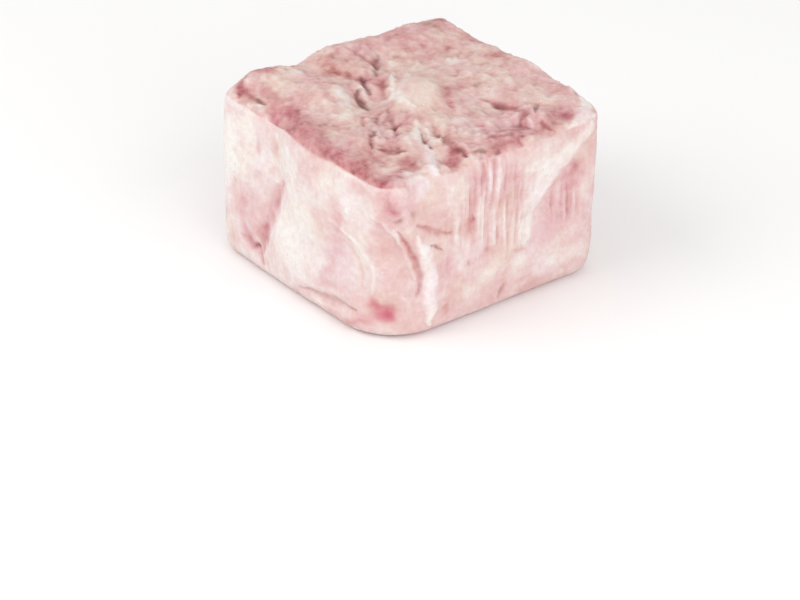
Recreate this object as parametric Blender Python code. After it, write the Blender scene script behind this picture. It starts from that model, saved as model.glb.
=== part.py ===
"""Turkish delight cube: one soft, hand-cut block of rose gel, slumped and crumpled under its dusting of powder.

Metres, +Z up. The origin is the middle of the flat base. The sides at -Y and +X meet at the blunt front corner
and carry the deeper relief. The sides at +Y and -X are plain cuts of the same knife.
"""

import math
from dataclasses import dataclass

import bmesh
import bpy
from mathutils import Vector, noise
from mathutils.geometry import interpolate_bezier

MM = 0.001

# Driving dimensions, in metres: the block before its relief
WIDTH = 29.2 * MM
DEPTH = 29.6 * MM
HEIGHT = 19.2 * MM

# How far each side leans in at the base, as a share of its half width or half depth: first the side at -X or -Y,
# whose soft foot spreads a little, then the side at +X or +Y
TAPER_X = (-0.024, 0.045)
TAPER_Y = (-0.012, 0.040)

# Radii of the long soft edges, in metres
TOP_RADIUS = 1.2 * MM
BASE_RADIUS = 1.5 * MM

# Radius of each upright corner at the base and at the top, by the signs of its x and y
CORNER_RADII = {
    (1, -1): (7.0 * MM, 3.0 * MM),
    (-1, -1): (2.8 * MM, 2.0 * MM),
    (1, 1): (3.4 * MM, 3.0 * MM),
    (-1, 1): (2.6 * MM, 1.8 * MM),
}

# Grid of the solid: squares along each side of the cube, and how evenly they are spread (1 is even)
GRID = 32
EVENNESS = 0.86

# Height above the flat base over which relief comes to lift and lower the skin
BASE_FADE = 2.6 * MM

GEL_COLOUR = (0.79, 0.57, 0.54, 1.0)
GEL_ROUGHNESS = 0.62


@dataclass(frozen=True)
class Swelling:
    """A soft rise of the skin, or a hollow where its lift is negative.

    The place is in shares of half the width, half the depth and the height. Reach and lift are in millimetres.
    """

    place: tuple
    reach: tuple
    lift: float


@dataclass(frozen=True)
class Crease:
    """A pinched line in the skin, with a low shoulder on each side of it.

    The three places are in shares of half the width, half the depth and the height. Width and depth are in
    millimetres.
    """

    start: tuple
    bend: tuple
    end: tuple
    width: float
    depth: float


TOP_SWELLINGS = (
    Swelling((-0.93, -0.62, 1.0), (4.6, 4.8, 5.0), 1.15),
    Swelling((-0.96, -0.02, 1.0), (4.0, 5.0, 4.4), 1.00),
    Swelling((-0.94, 0.34, 1.0), (4.0, 4.4, 4.0), 0.50),
    Swelling((-0.80, 0.66, 1.0), (5.0, 4.0, 4.0), 0.45),
    Swelling((0.16, 0.97, 1.0), (9.0, 4.0, 4.0), 0.55),
    Swelling((0.00, 0.12, 1.0), (5.0, 3.8, 4.4), 0.95),
    Swelling((-0.52, -0.50, 1.0), (4.4, 4.6, 4.4), 0.60),
    Swelling((0.42, 0.70, 1.0), (3.8, 3.4, 4.0), 0.45),
    Swelling((0.70, 0.50, 1.0), (3.4, 3.0, 4.0), 0.50),
    Swelling((0.33, -0.60, 1.0), (4.6, 3.8, 4.0), 0.50),
    Swelling((0.60, -0.08, 1.0), (3.8, 3.4, 4.0), 0.35),
    Swelling((-0.24, -0.20, 1.0), (3.8, 3.4, 4.0), -1.25),
    Swelling((0.84, -0.34, 1.0), (3.0, 2.8, 3.4), -0.60),
    Swelling((-0.42, 0.44, 1.0), (5.0, 4.4, 4.4), -0.45),
    Swelling((0.28, 0.38, 1.0), (4.2, 3.0, 4.0), -0.45),
    Swelling((-0.42, -0.95, 1.0), (4.4, 3.0, 3.4), -0.60),
)

SIDE_SWELLINGS = (
    Swelling((0.22, -1.0, 0.78), (7.5, 5.0, 9.0), 1.05),
    Swelling((-0.42, -1.0, 0.84), (5.6, 4.0, 6.0), -0.80),
    Swelling((-0.16, -1.0, 0.24), (8.0, 4.0, 6.0), 0.55),
    Swelling((0.62, -0.95, 0.42), (4.2, 5.0, 5.0), -0.45),
    Swelling((1.0, -0.64, 0.92), (4.0, 3.2, 4.4), -0.75),
    Swelling((1.0, 0.30, 0.86), (4.0, 9.0, 6.0), 0.45),
    Swelling((1.0, 0.36, 0.46), (4.0, 5.6, 5.0), -0.50),
    Swelling((1.0, 0.72, 0.22), (4.0, 4.6, 4.4), 0.55),
    Swelling((0.96, -0.58, 0.32), (3.0, 2.0, 5.6), 0.55),
    Swelling((-0.30, 1.0, 0.55), (9.0, 4.0, 7.0), 0.50),
    Swelling((0.55, 1.0, 0.35), (5.0, 4.0, 5.0), -0.45),
    Swelling((-1.0, 0.35, 0.50), (4.0, 8.0, 7.0), 0.45),
    Swelling((-1.0, -0.45, 0.40), (4.0, 5.0, 5.0), -0.40),
)

CREASES = (
    Crease((-0.86, -0.26, 1.0), (-0.64, -0.30, 1.0), (-0.42, -0.06, 1.0), 2.0, 0.50),
    Crease((-0.78, 0.28, 1.0), (-0.62, 0.22, 1.0), (-0.40, 0.08, 1.0), 1.9, 0.40),
    Crease((-0.30, -0.34, 1.0), (-0.14, -0.44, 1.0), (0.02, -0.34, 1.0), 1.8, 0.50),
    Crease((0.36, 0.34, 1.0), (0.50, 0.38, 1.0), (0.64, 0.54, 1.0), 1.8, 0.38),
    Crease((0.76, 0.30, 1.0), (0.86, 0.42, 1.0), (0.96, 0.40, 1.0), 1.8, 0.35),
    Crease((0.38, -0.20, 1.0), (0.54, -0.26, 1.0), (0.76, -0.36, 1.0), 1.8, 0.40),
    Crease((0.16, -0.36, 1.0), (0.32, -0.50, 1.0), (0.52, -0.64, 1.0), 1.8, 0.35),
    Crease((-0.20, -1.0, 0.66), (-0.40, -1.0, 0.42), (-0.43, -1.0, 0.14), 2.1, 0.50),
    Crease((-0.66, -1.0, 0.24), (-0.54, -1.0, 0.17), (-0.42, -1.0, 0.16), 1.8, 0.40),
    Crease((0.14, -1.0, 0.15), (0.36, -1.0, 0.17), (0.60, -0.98, 0.22), 1.8, 0.40),
    Crease((0.84, -0.92, 0.68), (0.94, -0.76, 0.52), (0.95, -0.70, 0.26), 2.0, 0.55),
    Crease((1.0, -0.70, 0.66), (1.0, -0.54, 0.62), (1.0, -0.34, 0.60), 1.8, 0.38),
    Crease((1.0, 0.76, 0.82), (1.0, 0.48, 0.56), (1.0, 0.20, 0.32), 2.4, 0.42),
    Crease((-0.10, 1.0, 0.78), (0.06, 1.0, 0.52), (0.02, 1.0, 0.24), 2.2, 0.42),
    Crease((-1.0, 0.02, 0.72), (-1.0, 0.16, 0.48), (-1.0, 0.06, 0.22), 2.2, 0.42),
)

# How a crease is worked out: points along it, how far it still shows at its two ends, and its shoulders' height,
# distance and reach, the last two in crease widths
CREASE_STEPS = 16
CREASE_END = 0.15
SHOULDER_SHARE = 0.30
SHOULDER_AWAY = 1.15
SHOULDER_REACH = 0.85

# Crumpled skin: the size of its folds and their height on the top and on the sides
CRUMPLE_SIZE = 4.0 * MM
CRUMPLE_ROUGHNESS = 1.0
CRUMPLE_STEP = 2.0
CRUMPLE_OCTAVES = 2
TOP_CRUMPLE = 0.34 * MM
SIDE_CRUMPLE = 0.18 * MM

# Flutes that the knife dragged down the upper part of the +X side
FLUTE_SPACING = 3.0 * MM
FLUTE_DEPTH = 0.22 * MM
FLUTE_PLACE = (1.0, -0.02, 0.68)
FLUTE_REACH = (3.0, 7.5, 7.5)
FLUTE_WAVER = 0.8
FLUTE_WAVER_SIZE = Vector((5.0, 12.0)) * MM


def clear_scene():
    """Removes whatever the file holds, so that the script can be run again."""
    for obj in list(bpy.data.objects):
        bpy.data.objects.remove(obj, do_unlink=True)


def at(shares):
    """The point, in metres, at shares of half the width, half the depth and the height."""
    return Vector((shares[0] * WIDTH / 2, shares[1] * DEPTH / 2, shares[2] * HEIGHT))


def spread(share):
    """A grid line's share of the half side, from -1 to 1, with the lines closer together towards the edges."""
    return EVENNESS * share + (1 - EVENNESS) * math.sin(share * math.pi / 2)


def smooth_step(share):
    """Runs from 0 to 1 with a soft start and a soft end."""
    share = min(max(share, 0.0), 1.0)
    return share * share * (3 - 2 * share)


def corner_radius(x, y, z):
    """The upright corner's radius in this quarter of the plan, at this height."""
    low, high = CORNER_RADII[(1 if x >= 0 else -1, -1 if y < 0 else 1)]
    return low + (high - low) * z / HEIGHT


def eased(first, second):
    """Two offsets into an edge's square patch, moved on to its quarter circle."""
    length = math.hypot(first, second)
    if not first or not second:
        return first, second
    shrink = max(first, second) / length
    return first * shrink, second * shrink


def leaned(offset, z, tapers):
    """An offset from the middle of the plan, drawn in towards the base as its side's taper says."""
    return offset * (1 - tapers[1 if offset >= 0 else 0] * (1 - z / HEIGHT))


def rounded(grid_point):
    """A point of the gridded cube, each coordinate from -1 to 1, moved on to the rounded and tapered block."""
    x, y, z = at((spread(grid_point.x), spread(grid_point.y), (spread(grid_point.z) + 1) / 2))
    radius = corner_radius(x, y, z)
    over_x = max(abs(x) - (WIDTH / 2 - radius), 0.0)
    over_y = max(abs(y) - (DEPTH / 2 - radius), 0.0)
    round_x, round_y = eased(over_x, over_y)
    out = math.hypot(round_x, round_y)
    edge_radius, edge_z, way = (
        (TOP_RADIUS, HEIGHT - TOP_RADIUS, 1) if z > HEIGHT / 2 else (BASE_RADIUS, BASE_RADIUS, -1)
    )
    near_wall = max(out - (radius - edge_radius), 0.0)
    near_face = max((z - edge_z) * way, 0.0)
    wall_part, face_part = eased(near_wall, near_face)
    if out:
        shift = (out - near_wall + wall_part) / out
        round_x, round_y = round_x * shift, round_y * shift
    if near_face:
        z = edge_z + way * face_part
    x = math.copysign(abs(x) - over_x + round_x, x)
    y = math.copysign(abs(y) - over_y + round_y, y)
    return Vector((leaned(x, z, TAPER_X), leaned(y, z, TAPER_Y), z))


def falloff(point, centre, reach_mm):
    """1 at the centre, fading to 0 at the reach along each axis."""
    away = sum(((point[i] - centre[i]) / (reach_mm[i] * MM)) ** 2 for i in range(3))
    return (1 - away) ** 2 if away < 1 else 0.0


def crease_profile(away):
    """The height across a crease, as a share of its depth, by the distance in crease widths."""
    groove = (1 - away * away) ** 2 if away < 1 else 0.0
    shoulder_away = abs(away - SHOULDER_AWAY) / SHOULDER_REACH
    shoulder = (1 - shoulder_away * shoulder_away) ** 2 if shoulder_away < 1 else 0.0
    return SHOULDER_SHARE * shoulder - groove


def crease_line(crease):
    """Points along a crease, eased through its bend: a quadratic curve, written as the cubic that equals it."""
    start, bend, end = at(crease.start), at(crease.bend), at(crease.end)
    handle = 2 / 3
    return interpolate_bezier(start, start.lerp(bend, handle), end.lerp(bend, handle), end, CREASE_STEPS)


def swelling_lift(point):
    """How far the swellings and hollows lift the skin here."""
    return sum(
        swelling.lift * MM * falloff(point, at(swelling.place), swelling.reach)
        for swelling in TOP_SWELLINGS + SIDE_SWELLINGS
    )


def crease_lift(point, lines):
    """How far the creases lift the skin here, each fading at its ends."""
    lift = 0.0
    for crease, line in lines:
        width = crease.width * MM
        away, step = min(((point - spot).length, i) for i, spot in enumerate(line))
        along = step / (len(line) - 1)
        fade = math.sin(math.pi * (CREASE_END + (1 - 2 * CREASE_END) * along))
        lift += crease.depth * MM * fade * crease_profile(away / width)
    return lift


def crumple_lift(point, normal):
    """The skin's uneven folds, deeper on the top than on the cut sides."""
    height = SIDE_CRUMPLE + (TOP_CRUMPLE - SIDE_CRUMPLE) * smooth_step(normal.z)
    return height * noise.fractal(point / CRUMPLE_SIZE, CRUMPLE_ROUGHNESS, CRUMPLE_STEP, CRUMPLE_OCTAVES)


def flute_lift(point, normal):
    """The soft flutes down the +X side, wavering a little as they go."""
    strength = falloff(point, at(FLUTE_PLACE), FLUTE_REACH) * smooth_step(normal.x)
    across, along = point.y / FLUTE_WAVER_SIZE.x, point.z / FLUTE_WAVER_SIZE.y
    waver = FLUTE_WAVER * noise.noise(Vector((across, along, 0.0)))
    return FLUTE_DEPTH * strength * math.cos(2 * math.pi * (point.y / FLUTE_SPACING + waver))


def add_relief(mesh):
    """Moves each point of the rounded block along its normal by all the relief.

    Near the base the move turns level, so the foot wanders in plan and the base stays flat.
    """
    lines = [(crease, crease_line(crease)) for crease in CREASES]
    mesh.normal_update()
    moved = []
    for vertex in mesh.verts:
        point, normal = vertex.co.copy(), vertex.normal.copy()
        lift = swelling_lift(point) + crease_lift(point, lines)
        lift += crumple_lift(point, normal) + flute_lift(point, normal)
        move = normal * lift
        move.z *= smooth_step(point.z / BASE_FADE)
        moved.append(point + move)
    for vertex, point in zip(mesh.verts, moved):
        vertex.co = point


def centre_on_base(mesh):
    """Puts the middle of the block's plan over the origin, with its base at zero height."""
    low = [min(vertex.co[i] for vertex in mesh.verts) for i in range(3)]
    high = [max(vertex.co[i] for vertex in mesh.verts) for i in range(3)]
    middle = Vector(((low[0] + high[0]) / 2, (low[1] + high[1]) / 2, low[2]))
    bmesh.ops.translate(mesh, verts=mesh.verts, vec=-middle)


def gel_material():
    """Rose gel under a damp coat of powder."""
    material = bpy.data.materials.new("dusted_rose_gel")
    material.use_nodes = True
    shader = material.node_tree.nodes["Principled BSDF"]
    shader.inputs["Base Color"].default_value = GEL_COLOUR
    shader.inputs["Roughness"].default_value = GEL_ROUGHNESS
    shader.inputs["Metallic"].default_value = 0.0
    return material


def delight_cube():
    """The whole piece: a gridded cube, rounded, tapered and given its relief."""
    mesh = bmesh.new()
    bmesh.ops.create_cube(mesh, size=2)
    bmesh.ops.subdivide_edges(mesh, edges=mesh.edges, cuts=GRID - 1, use_grid_fill=True)
    for vertex in mesh.verts:
        vertex.co = rounded(vertex.co)
    add_relief(mesh)
    centre_on_base(mesh)
    data = bpy.data.meshes.new("delight_cube")
    mesh.to_mesh(data)
    mesh.free()
    data.shade_smooth()
    data.materials.append(gel_material())
    cube = bpy.data.objects.new("delight_cube", data)
    bpy.context.scene.collection.objects.link(cube)
    return cube


clear_scene()
delight_cube()
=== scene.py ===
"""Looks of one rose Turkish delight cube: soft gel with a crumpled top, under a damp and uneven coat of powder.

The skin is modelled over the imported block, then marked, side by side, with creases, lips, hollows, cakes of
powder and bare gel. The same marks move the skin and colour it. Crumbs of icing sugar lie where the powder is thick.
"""

import logging
import math
from dataclasses import dataclass, replace
from enum import Enum

import bpy
import numpy as np
from mathutils import Matrix, Vector, noise


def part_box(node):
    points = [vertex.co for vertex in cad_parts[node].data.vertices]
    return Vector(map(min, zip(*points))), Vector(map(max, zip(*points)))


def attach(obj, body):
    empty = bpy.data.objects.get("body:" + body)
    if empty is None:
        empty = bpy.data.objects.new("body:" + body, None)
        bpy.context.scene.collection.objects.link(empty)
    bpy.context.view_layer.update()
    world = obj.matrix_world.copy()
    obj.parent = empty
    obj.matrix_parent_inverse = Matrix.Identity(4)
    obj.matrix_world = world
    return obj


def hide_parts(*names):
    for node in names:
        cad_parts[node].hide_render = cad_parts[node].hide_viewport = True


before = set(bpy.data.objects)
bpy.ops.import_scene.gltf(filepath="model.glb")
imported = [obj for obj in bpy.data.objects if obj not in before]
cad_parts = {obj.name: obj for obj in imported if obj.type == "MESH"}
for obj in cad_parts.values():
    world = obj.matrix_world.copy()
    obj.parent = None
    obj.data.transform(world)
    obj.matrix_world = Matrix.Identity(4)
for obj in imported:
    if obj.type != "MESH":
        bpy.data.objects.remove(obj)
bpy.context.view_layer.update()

MM = 0.001
NODE = "delight_cube"
STROKE_END = 0.35  # The share of its width that a stroke has at its ends
LOG = logging.getLogger("turkish_delight")


class Side(Enum):
    """A side of the block: the two axes that places on it are measured along, and the way it faces."""

    TOP = ((1, 0, 0), (0, 1, 0), (0, 0, 1))
    FRONT = ((1, 0, 0), (0, 0, 1), (0, -1, 0))
    RIGHT = ((0, 1, 0), (0, 0, 1), (1, 0, 0))
    CORNER = ((0.7071, 0.7071, 0), (0, 0, 1), (0.7071, -0.7071, 0))
    BACK = ((1, 0, 0), (0, 0, 1), (0, 1, 0))
    LEFT = ((0, 1, 0), (0, 0, 1), (-1, 0, 0))
    BASE = ((1, 0, 0), (0, 1, 0), (0, 0, -1))

    @property
    def axes(self) -> np.ndarray:
        """The two axes that places on this side are measured along."""
        return np.array(self.value[:2], float)

    @property
    def facing(self) -> np.ndarray:
        """The way this side faces."""
        return np.array(self.value[2], float)


@dataclass(frozen=True)
class Mark:
    """One mark in the skin: a dab where its path has one place, and a stroke where it has more.

    The path is in millimetres along the side's axes, and reach is the mark's half size along and across. Flat is the
    share of its reach over which it is at its strongest. Lift is in millimetres and the other effects are shares, each
    at the mark's strongest.
    """

    path: tuple
    reach: tuple
    turn: float = 0.0
    flat: float = 0.0
    lift: float = 0.0
    dust: float = 0.0
    warm: float = 0.0
    berry: float = 0.0
    shade: float = 0.0
    crumple: float = 0.0
    drag: float = 0.0
    calm: float = 0.0
    side: Side = Side.TOP


def dab(x: float, y: float, along: float, across: float, turn: float = 0.0, **effect: float) -> Mark:
    """A round or oval mark, from its middle, its half length and half width, and its turn in degrees."""
    return Mark(((x, y),), (along, across), turn, **effect)


def stroke(path: tuple, width: float, **effect: float) -> Mark:
    """A mark drawn along a bent line, thinning at both ends, from its places and its half width."""
    return Mark(path, (width, width), **effect)


def marks_on(side: Side, *marks: Mark) -> tuple:
    """Puts marks on a side."""
    return tuple(replace(mark, side=side) for mark in marks)


def echo(marks: tuple, side: Side, shift: float) -> tuple:
    """Repeats a side's marks on the side across from it, where they read mirrored, moved by some millimetres."""
    return tuple(replace(mark, side=side, path=tuple((x + shift, z) for x, z in mark.path)) for mark in marks)


TOP_MARKS = marks_on(
    Side.TOP,
    # The pinched dimple and the creases that run into it, darkened with painted shade, most of all in the dark crescent
    # inside the pit
    dab(-5.4, 0.2, 2.1, 1.1, -30, lift=-0.25, dust=-0.3, berry=0.25),
    dab(-6.6, -0.4, 1.3, 0.9, -30, dust=-0.2, shade=0.2),
    stroke(((-10.6, 3.9), (-9.2, 2.7), (-7.9, 1.9), (-6.8, 0.8)), 0.75, lift=-0.3, dust=-0.2, shade=0.6),
    stroke(((-12.6, 1.2), (-11.0, 1.7), (-9.4, 2.2), (-8.0, 2.0)), 0.7, lift=-0.15, dust=-0.12, shade=0.4),
    stroke(((-7.4, -0.6), (-6.4, -1.2), (-5.2, -1.7), (-4.2, -1.9)), 0.6, lift=-0.3, dust=-0.2, shade=0.85),
    stroke(((-5.4, -2.7), (-4.6, -3.3), (-3.4, -3.4), (-1.6, -4.2)), 0.75, lift=-0.42, dust=-0.26, shade=0.95),
    stroke(((-10.2, -2.3), (-8.9, -1.7), (-7.6, -1.5), (-6.8, -0.6)), 0.7, lift=-0.2, dust=-0.28, shade=0.3),
    stroke(((-7.2, -1.8), (-5.8, -2.2), (-4.4, -2.6), (-2.8, -2.6)), 0.6, lift=0.22, dust=0.26, warm=0.3),
    # Painted shadow under the blister's lip
    dab(-3.4, -1.2, 1.6, 0.8, -25, dust=-0.1, shade=0.2),
    # The smooth blister beside it. Its lip is raised cream powder and also a painted highlight on the side that faces
    # the light; painted shadow lies under the lip and along the blister's right edge
    dab(0.6, 0.9, 4.7, 2.8, -28, lift=0.22, dust=0.12, warm=0.9, calm=1.0, flat=0.6),
    dab(-1.6, 4.2, 4.0, 1.9, -8, dust=0.02, warm=0.6, shade=0.1, calm=0.8, flat=0.3),
    stroke(((-5.6, 2.2), (-4.4, 1.1), (-3.3, 0.2), (-1.8, -0.5), (0.1, -1.2), (1.6, -1.4), (2.8, -1.3)), 0.95,
           lift=0.2, dust=0.34, warm=0.7),
    # Painted shadow along the lip's lower left border
    stroke(((-6.2, 1.4), (-5.0, 0.1), (-3.8, -0.7), (-2.2, -1.4)), 0.6, lift=-0.12, dust=-0.16, shade=0.22),
    # Painted shade along the blister's right edge, drawn as thinner powder
    stroke(((0.4, 4.4), (2.4, 3.2), (4.6, 2.0)), 1.1, lift=-0.12, dust=-0.3, warm=-0.2),
    stroke(((-6.2, 2.8), (-5.3, 2.0), (-4.4, 1.1), (-3.3, 0.3)), 0.8, lift=0.1, dust=0.24, warm=0.4),
    dab(-7.8, 3.8, 1.7, 0.8, -10, lift=0.1, dust=0.3),
    # The raised left corner and the strip along the edge behind it
    stroke(((-11.6, -13.6), (-13.6, -11.8), (-14.4, -9.6), (-14.2, -7.2), (-13.0, -4.6)), 0.9, dust=-0.34,
           warm=-0.4, shade=0.15),
    dab(-11.0, -8.4, 2.6, 2.0, -30, lift=0.06, dust=0.16, warm=0.9, flat=0.3),
    dab(-13.4, -8.8, 2.2, 1.6, 10, dust=-0.32, berry=0.3, flat=0.3),
    stroke(((-14.2, -11.8), (-12.4, -12.8), (-10.0, -13.0), (-8.4, -12.8)), 1.0, lift=-0.1, dust=-0.38,
           shade=0.15),
    dab(-9.6, -12.8, 1.5, 0.6, dust=-0.16, shade=0.35),
    dab(-11.8, -3.2, 3.6, 1.4, dust=-0.32),
    dab(-11.8, 7.8, 2.2, 1.8, dust=-0.1, berry=0.18),
    dab(-12.0, 12.6, 2.4, 2.4, dust=-0.14, shade=0.28, flat=0.3),
    dab(-9.6, 14.4, 4.6, 2.0, lift=0.22, flat=0.3),
    dab(-10.6, 11.4, 0.6, 1.9, 10, dust=0.1),
    dab(-7.0, 10.9, 0.9, 0.6, -10, lift=-0.12, dust=-0.16, shade=0.45),
    dab(-5.2, 10.9, 0.7, 0.5, -10, lift=-0.08, dust=-0.1, shade=0.3),
    dab(-6.0, 13.2, 3.4, 1.6, 5, dust=-0.32, warm=-0.2, shade=0.12),
    dab(-1.7, 14.4, 1.6, 1.1, dust=-0.1, shade=0.35),
    dab(-2.2, 12.8, 2.4, 1.5, dust=-0.32, berry=0.12),
    dab(-8.6, 8.6, 2.6, 1.4, -20, dust=-0.06, shade=0.12),
    # Pale and beige cakes of damp powder
    dab(-1.4, -6.6, 4.2, 1.9, -38, lift=0.1, dust=0.26, warm=0.8, calm=0.4, flat=0.3),
    dab(-5.6, -5.0, 1.4, 2.3, -20, lift=0.08, dust=0.24, warm=0.6, flat=0.3),
    dab(-8.2, -3.6, 2.2, 1.2, 10, lift=0.08, dust=0.2, warm=0.7, flat=0.3),
    dab(-10.8, 0.3, 1.4, 1.0, lift=0.08, dust=0.1, warm=0.7),
    dab(-9.0, 5.6, 2.2, 1.1, -5, lift=0.05, dust=0.18, warm=0.7, flat=0.2),
    dab(1.6, -7.6, 3.0, 1.8, -20, dust=0.1, warm=0.4, crumple=0.3),
    dab(2.6, 14.6, 3.0, 1.0, lift=0.05, dust=0.26),
    dab(9.2, 3.4, 1.7, 1.4, -15, lift=0.12, dust=0.16, warm=0.6),
    dab(7.0, 9.4, 1.8, 1.2, -20, lift=0.12, dust=0.14, warm=0.3),
    dab(4.4, 7.6, 2.0, 1.1, -10, dust=0.08, warm=0.3),
    dab(-10.6, -10.4, 1.8, 1.0, 10, lift=0.06, dust=0.12, warm=0.5),
    dab(-12.0, -5.8, 1.8, 1.2, 10, dust=-0.04, shade=0.18, warm=0.4),
    # Wrinkles running to the front corner, and the lip and hollow beside it
    dab(4.6, -6.4, 6.0, 4.2, -25, crumple=0.7, flat=0.3),
    dab(8.2, -3.4, 3.6, 2.2, -30, crumple=0.8),
    stroke(((0.4, -3.1), (1.8, -4.2), (3.2, -4.7), (4.6, -5.2)), 0.6, lift=-0.2, dust=-0.24, shade=0.3),
    stroke(((0.9, -4.9), (1.9, -5.7), (2.7, -6.0)), 0.55, lift=-0.15, dust=-0.14, shade=0.3),
    stroke(((3.6, -4.6), (4.8, -5.5), (6.0, -6.4)), 0.55, lift=-0.18, dust=-0.18, shade=0.25),
    stroke(((4.4, -2.6), (6.0, -3.8), (7.6, -4.9), (9.0, -5.6)), 0.8, lift=0.14, dust=0.28, warm=0.3),
    stroke(((6.9, -3.9), (8.6, -4.6), (10.1, -5.0)), 0.42, lift=-0.26, dust=-0.16, warm=0.2, shade=0.6),
    stroke(((6.4, -2.8), (8.0, -3.6), (9.6, -4.2)), 0.42, lift=0.14, dust=0.34),
    stroke(((6.0, -1.8), (7.6, -2.6), (9.2, -3.3)), 0.42, lift=-0.18, dust=-0.2, shade=0.4),
    stroke(((3.8, -7.4), (5.0, -8.9), (6.6, -9.9)), 0.55, lift=-0.16, dust=-0.22, shade=0.45),
    dab(6.6, -8.6, 0.9, 0.5, -35, lift=-0.12, dust=-0.16, shade=0.4),
    dab(5.7, -8.5, 0.8, 0.5, -35, lift=0.1, dust=0.26),
    stroke(((9.0, -7.6), (7.9, -8.6), (6.9, -9.4)), 1.0, lift=-0.2, dust=-0.44, berry=0.15, shade=0.5),
    stroke(((9.4, -5.2), (11.2, -6.1), (13.0, -7.0), (14.8, -7.9)), 1.1, lift=0.1, dust=0.36, warm=-1.6),
    stroke(((8.2, -2.5), (10.0, -2.8), (11.4, -2.9), (12.6, -3.0), (13.6, -3.2)), 0.95, lift=-0.2, dust=-0.42,
           shade=0.5),
    dab(12.3, -4.5, 2.4, 1.5, -22, lift=-0.24, dust=-0.4, warm=-0.5, flat=0.3),
    dab(8.8, -11.8, 4.2, 2.6, -30, dust=-0.18, warm=-0.2, crumple=0.2),
    stroke(((13.0, -3.2), (13.5, -2.2), (13.9, -0.8), (14.1, 0.8), (14.2, 2.4), (14.0, 4.0)), 1.1, dust=-0.3,
           shade=0.28),
    stroke(((12.0, -2.4), (12.8, 0.4), (13.0, 3.4), (13.2, 6.4), (13.2, 9.4), (12.6, 11.6)), 1.9, dust=-0.18,
           warm=-0.3, flat=0.3),
    dab(11.2, -9.0, 2.4, 1.4, -30, lift=-0.16, dust=-0.36, warm=-0.4, berry=0.15, flat=0.3),
    stroke(((13.4, -11.4), (12.8, -10.2), (12.6, -9.1), (13.2, -8.3), (14.2, -7.9)), 0.6, dust=0.18, warm=-0.4),
    dab(14.3, -9.8, 1.3, 1.8, dust=0.2, warm=-0.2, flat=0.3),
    stroke(((13.0, -14.0), (12.6, -12.6), (12.2, -11.2), (11.6, -10.0)), 1.1, dust=-0.34, warm=-0.3, shade=0.14),
    dab(12.9, -11.4, 0.6, 0.5, dust=-0.2, shade=0.45),
    dab(12.4, -13.6, 1.2, 1.0, dust=-0.28, warm=-0.4, shade=0.2),
    dab(8.9, -14.2, 0.9, 0.6, dust=-0.2, shade=0.45),
    dab(9.8, -13.2, 2.8, 1.5, -10, dust=-0.26, warm=-0.4),
    stroke(((-5.8, -10.2), (-5.2, -10.9), (-4.4, -11.2)), 0.6, lift=-0.15, dust=-0.16, shade=0.45),
    # Mauve where the gel shows through thin powder
    dab(10.8, 3.0, 5.0, 9.5, warm=-0.45, flat=0.3),
    dab(-11.6, 5.0, 3.4, 9.0, dust=-0.1, warm=-0.5, flat=0.3),
    dab(-11.2, -1.4, 2.6, 3.0, dust=-0.16, shade=0.1, flat=0.3),
    # Bare rose gel along the front edge
    stroke(((-10.0, -11.0), (-6.2, -12.0), (-3.0, -13.2), (1.0, -14.6), (5.4, -15.2), (10.0, -15.0),
                 (13.6, -13.6)), 2.8, dust=-0.21, warm=-0.4, berry=0.24, calm=0.4, flat=0.45, crumple=0.3),
    dab(-1.2, -12.0, 3.8, 2.4, -14, dust=-0.18, warm=-0.3, flat=0.2, crumple=0.3),
    dab(4.4, -13.8, 4.2, 2.0, -4, dust=-0.14, warm=-0.3, flat=0.2),
    dab(-5.6, -10.4, 3.6, 1.8, -16, dust=-0.16, warm=-0.3, flat=0.3),
    dab(-6.8, -13.8, 2.2, 0.9, -5, lift=0.05, dust=0.4),
    stroke(((-1.0, -11.2), (1.2, -12.4), (3.4, -13.0)), 0.5, lift=-0.12, dust=-0.1, shade=0.3),
    stroke(((2.4, -14.2), (4.6, -14.4), (7.2, -14.6)), 0.5, dust=-0.06, shade=0.35),
    # Creases and lumps near the right corner
    stroke(((4.2, 6.2), (6.2, 6.8), (8.4, 7.4), (10.4, 6.8), (11.6, 5.6)), 0.95, lift=-0.2, dust=-0.34,
           shade=0.4),
    stroke(((11.2, 4.4), (11.6, 5.3), (12.6, 6.0)), 0.7, lift=-0.2, dust=-0.18, shade=0.5),
    stroke(((11.4, 6.6), (12.2, 6.6), (13.0, 6.2)), 0.4, lift=0.15, dust=0.3),
    stroke(((9.4, 9.8), (10.3, 8.8), (11.4, 7.8)), 0.6, lift=-0.2, dust=-0.12, shade=0.5),
    stroke(((9.0, 9.2), (10.2, 8.2), (11.2, 7.4)), 0.4, lift=0.15, dust=0.2),
    dab(12.0, 10.0, 2.6, 2.8, 10, dust=-0.26, warm=-0.5, crumple=0.5),
    stroke(((12.6, 7.7), (13.4, 7.3), (14.2, 7.4)), 0.6, lift=-0.15, dust=-0.2, shade=0.35),
    stroke(((9.6, 15.4), (12.0, 14.2), (13.8, 12.4), (14.8, 9.8)), 1.3, dust=0.4, flat=0.3),
    dab(7.0, 2.6, 2.6, 1.6, -10, dust=-0.2),
    dab(11.8, 0.6, 2.8, 1.5, -30, dust=-0.2),
    dab(12.6, 3.4, 1.6, 2.0, dust=-0.12, crumple=0.4),
    dab(10.4, 2.0, 4.2, 8.6, crumple=0.4, flat=0.3),
    dab(10.6, 9.4, 0.9, 0.7, 40, lift=0.12, dust=0.2),
    dab(12.0, 8.2, 0.8, 0.7, 40, lift=0.12, dust=0.18),
    dab(9.4, 8.0, 1.0, 0.6, 20, lift=0.1, dust=0.16),
    dab(13.2, 5.0, 0.8, 1.1, lift=0.08, dust=0.14),
)

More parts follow.
